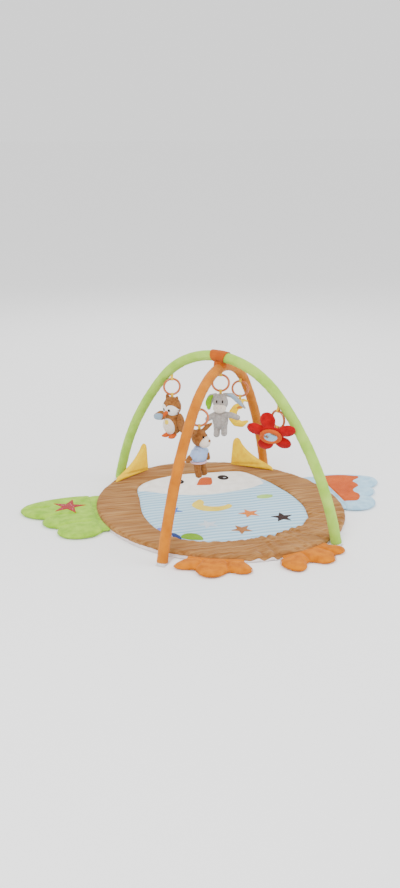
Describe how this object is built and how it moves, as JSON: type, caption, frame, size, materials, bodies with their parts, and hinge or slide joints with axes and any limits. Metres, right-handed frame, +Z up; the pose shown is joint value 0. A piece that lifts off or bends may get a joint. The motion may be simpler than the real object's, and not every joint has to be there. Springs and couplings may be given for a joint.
{
  "type": "activity play gym",
  "caption": "Round padded play mat with wings, ears and feet, two crossed padded arches, and soft toys that hang from rings.",
  "frame": {"origin": "on the floor under the mat, 11 mm to the right of the point where the two arches cross and 41 mm behind it", "axes": "+X towards the right wing, +Y from the feet to the ears, +Z up"},
  "size_m": [1.281, 0.9438, 0.5519],
  "materials": {
    "backing_cotton": "woven cotton",
    "wadding": "polyester wadding",
    "brown_velour": "soft ribbed velour",
    "belly_stripe": "knitted jersey with fine stripes",
    "face_fabric": "smooth velour",
    "dark_brown_felt": "embroidered",
    "orange_fabric": "woven cotton",
    "yellow_fabric": "smooth velour",
    "star_felt": "printed star",
    "lime_fabric": "printed",
    "hook_tape": "hook tape",
    "lime_velour": "quilted velour",
    "red_print": "printed cotton",
    "pale_blue_fabric": "smooth velour",
    "orange_velour": "quilted velour",
    "orange_sleeve": "knitted sleeve",
    "green_sleeve": "knitted sleeve",
    "foam": "closed-cell foam",
    "fibreglass": "pultruded rod",
    "steel": "drawn tube",
    "plug_plastic": "moulded",
    "stud_plastic": "moulded",
    "yellow_tape": "woven tape",
    "brown_plush": "short plush",
    "jumper_blue": "knitted",
    "grey_plush": "short plush",
    "red_velour": "smooth velour",
    "mirror_film": "safety mirror",
    "ring_plastic": "moulded"
  },
  "bodies": {
    "mat": {"mat_backing": "backing_cotton", "mat_wadding": "wadding", "mat_border": "brown_velour", "belly_panel": "belly_stripe", "face_panel": "face_fabric", "eye_patches": "dark_brown_felt", "beak_patch": "orange_fabric", "moon_patch": "yellow_fabric", "star_patches": "star_felt", "hill_patches": "lime_fabric", "anchor_tabs": "backing_cotton", "anchor_hook_pads": "hook_tape"},
    "left_wing": {"wing_left": "lime_velour", "wing_left_star": "red_print"},
    "right_wing": {"wing_right": "pale_blue_fabric", "wing_right_inset": "orange_fabric"},
    "left_ear": {"ear_left": "yellow_fabric"},
    "right_ear": {"ear_right": "yellow_fabric"},
    "left_foot": {"foot_left": "orange_velour"},
    "right_foot": {"foot_right": "orange_velour"},
    "arch_orange": {"orange_sleeve": "orange_sleeve", "orange_foam": "foam", "orange_rod_back": "fibreglass", "orange_rod_front": "fibreglass", "orange_ferrule": "steel", "orange_foot_plugs": "plug_plastic", "orange_toy_loops": "yellow_tape", "crossing_stud": "stud_plastic"},
    "arch_green": {"green_sleeve": "green_sleeve", "green_foam": "foam", "green_rod_back": "fibreglass", "green_rod_front": "fibreglass", "green_ferrule": "steel", "green_foot_plugs": "plug_plastic", "green_toy_loops": "yellow_tape", "crossing_strap": "orange_sleeve"},
    "ring_owl": {"owl_ring": "ring_plastic"},
    "toy_owl": {"owl_loop": "yellow_tape", "owl_body": "brown_plush", "owl_wings": "brown_plush", "owl_feet": "orange_fabric"},
    "ring_deer": {"deer_ring": "ring_plastic"},
    "toy_deer": {"deer_loop": "yellow_tape", "deer_head": "brown_plush", "deer_body": "jumper_blue", "deer_limbs": "brown_plush"},
    "ring_donkey": {"donkey_ring": "ring_plastic"},
    "toy_donkey": {"donkey_loop": "yellow_tape", "donkey_head": "grey_plush", "donkey_ears": "grey_plush", "donkey_body": "grey_plush"},
    "ring_moon": {"moon_ring": "ring_plastic"},
    "toy_moon": {"moon_loop": "yellow_tape", "moon_body": "yellow_fabric"},
    "ring_flower": {"flower_ring": "ring_plastic"},
    "toy_flower": {"flower_loop": "yellow_tape", "flower_petals": "red_velour", "flower_collar": "orange_fabric", "flower_mirror": "mirror_film"}
  },
  "joints": [
    {"name": "arch_lift", "type": "slide", "parent": "mat", "child": "arch_orange", "axis": [0, 0, 1], "range_m": [0, 0.3]},
    {"name": "arch_scissor", "type": "hinge", "parent": "arch_orange", "child": "arch_green", "pos_m": [-0.011, -0.041, 0.512], "axis": [0, 0, 1], "range_deg": [0, 18]},
    {"name": "left_wing_fold", "type": "hinge", "parent": "mat", "child": "left_wing", "pos_m": [-0.42187, 0, 0.0205], "axis": [0, 1, 0], "range_deg": [0, 165]},
    {"name": "right_wing_fold", "type": "hinge", "parent": "mat", "child": "right_wing", "pos_m": [0.39987, 0, 0.0205], "axis": [0, -1, 0], "range_deg": [0, 165]},
    {"name": "left_foot_fold", "type": "hinge", "parent": "mat", "child": "left_foot", "pos_m": [-0.13312, -0.44044, 0.0215], "axis": [-0.9247, 0.3806, 0], "range_deg": [0, 100]},
    {"name": "right_foot_fold", "type": "hinge", "parent": "mat", "child": "right_foot", "pos_m": [0.15368, -0.4486, 0.0215], "axis": [-0.9376, -0.3478, 0], "range_deg": [0, 60]},
    {"name": "left_ear_fold", "type": "hinge", "parent": "mat", "child": "left_ear", "pos_m": [-0.23161, 0.28026, 0.0243], "axis": [0.8147, 0.5799, 0], "range_deg": [0, 80], "stiffness_Nm_per_rad": 0.03},
    {"name": "right_ear_fold", "type": "hinge", "parent": "mat", "child": "right_ear", "pos_m": [0.18798, 0.25514, 0.0243], "axis": [0.7873, -0.6165, 0], "range_deg": [0, 80], "stiffness_Nm_per_rad": 0.03},
    {"name": "owl_ring_swing", "type": "hinge", "parent": "arch_green", "child": "ring_owl", "pos_m": [-0.13437, 0.12272, 0.42348], "axis": [0.9945, -0.1045, 0], "range_deg": [-30, 14]},
    {"name": "owl_sway", "type": "hinge", "parent": "ring_owl", "child": "toy_owl", "pos_m": [-0.13437, 0.12272, 0.39648], "axis": [0.1045, 0.9945, 0], "range_deg": [-20, 10]},
    {"name": "deer_ring_swing", "type": "hinge", "parent": "arch_orange", "child": "ring_deer", "pos_m": [-0.11572, -0.17996, 0.40357], "axis": [0.9703, -0.2419, 0], "range_deg": [-10, 30]},
    {"name": "deer_sway", "type": "hinge", "parent": "ring_deer", "child": "toy_deer", "pos_m": [-0.11572, -0.17996, 0.37657], "axis": [0.2419, 0.9703, 0], "range_deg": [-20, 20]},
    {"name": "donkey_ring_swing", "type": "hinge", "parent": "arch_orange", "child": "ring_donkey", "pos_m": [-0.00739, -0.03621, 0.47014], "axis": [0.9703, -0.2419, 0], "range_deg": [-30, 30]},
    {"name": "donkey_sway", "type": "hinge", "parent": "ring_donkey", "child": "toy_donkey", "pos_m": [-0.00739, -0.03621, 0.44314], "axis": [0.2419, 0.9703, 0], "range_deg": [-20, 20]},
    {"name": "moon_ring_swing", "type": "hinge", "parent": "arch_orange", "child": "ring_moon", "pos_m": [0.10395, 0.11154, 0.40314], "axis": [0.9397, -0.342, 0], "range_deg": [-30, 30]},
    {"name": "moon_sway", "type": "hinge", "parent": "ring_moon", "child": "toy_moon", "pos_m": [0.10395, 0.11154, 0.37614], "axis": [0.342, 0.9397, 0], "range_deg": [-20, 20]},
    {"name": "flower_ring_swing", "type": "hinge", "parent": "arch_green", "child": "ring_flower", "pos_m": [0.12742, -0.22469, 0.39276], "axis": [-0.4384, 0.8988, 0], "range_deg": [0, 20]},
    {"name": "flower_sway", "type": "hinge", "parent": "ring_flower", "child": "toy_flower", "pos_m": [0.12742, -0.22469, 0.36576], "axis": [-0.8988, -0.4384, 0], "range_deg": [-4, 10]}
  ]
}
